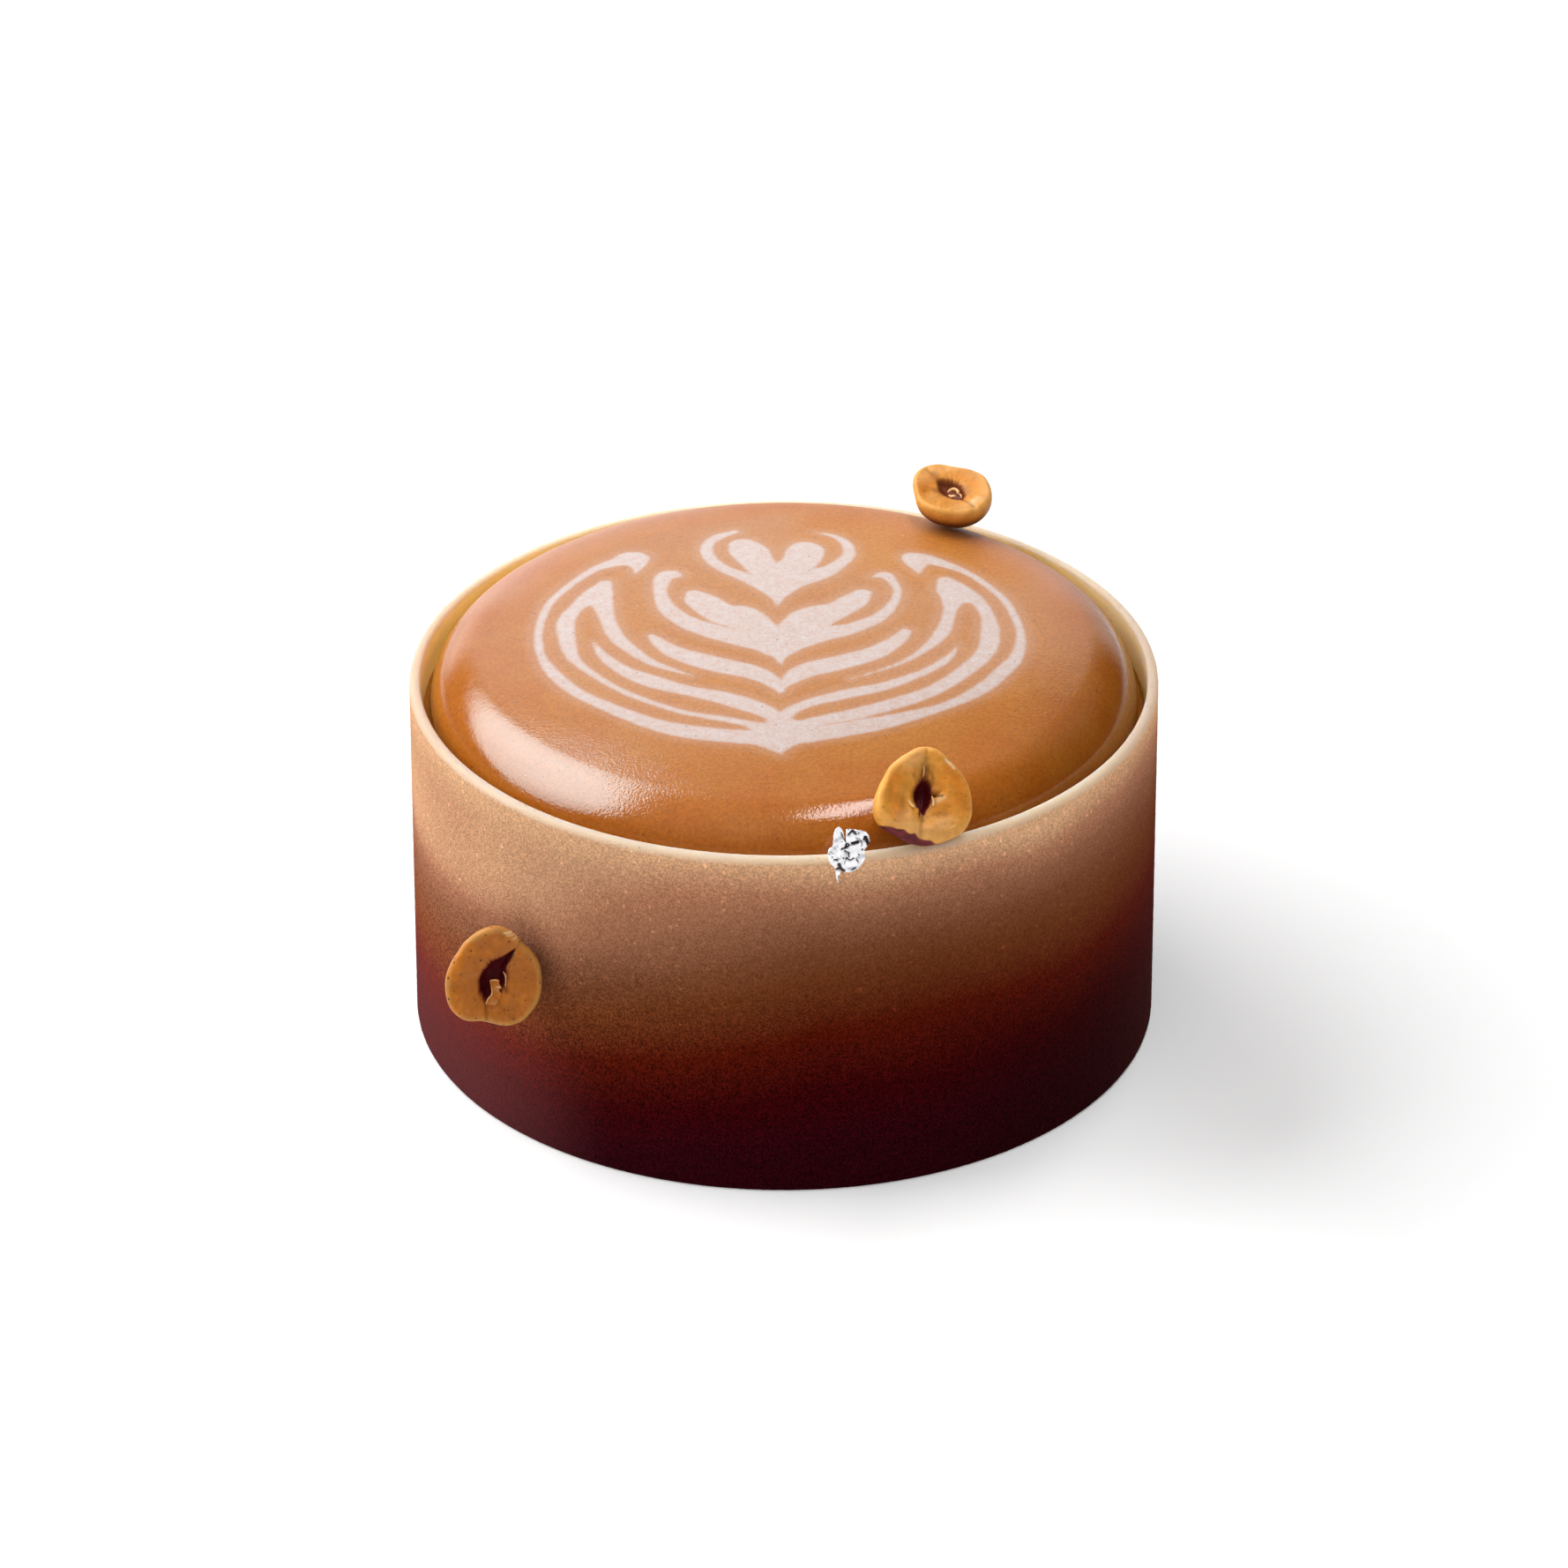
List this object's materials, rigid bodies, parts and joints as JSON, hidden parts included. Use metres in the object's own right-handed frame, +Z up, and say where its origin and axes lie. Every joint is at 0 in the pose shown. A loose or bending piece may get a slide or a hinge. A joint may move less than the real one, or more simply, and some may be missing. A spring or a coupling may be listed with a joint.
{
  "type": "hazelnut latte cake",
  "caption": "Round mousse cake in a thin velvet-sprayed wall, its glazed caramel dome marked with a latte-art leaf, with hazelnut halves and a scrap of silver leaf.",
  "frame": {"origin": "centre of the cake's flat underside", "axes": "+Z up along the cake's own axis, -Y towards the viewer of the shown front"},
  "size_m": [0.12, 0.1205, 0.0736],
  "materials": {
    "velvet_wall": "cocoa-butter velvet spray over a crisp wall, cream at the rim fading to burgundy at the foot",
    "latte_glaze": "glossy caramel-brown glaze",
    "hazelnut_kernel": "caramelised nut with a thin glossy coat",
    "silver_leaf": "crumpled thin silver leaf"
  },
  "bodies": {
    "root": {"wall": "velvet_wall", "filling": "latte_glaze", "hazelnut_front": "hazelnut_kernel", "hazelnut_back": "hazelnut_kernel", "hazelnut_side": "hazelnut_kernel", "silver_leaf": "silver_leaf"}
  },
  "joints": []
}
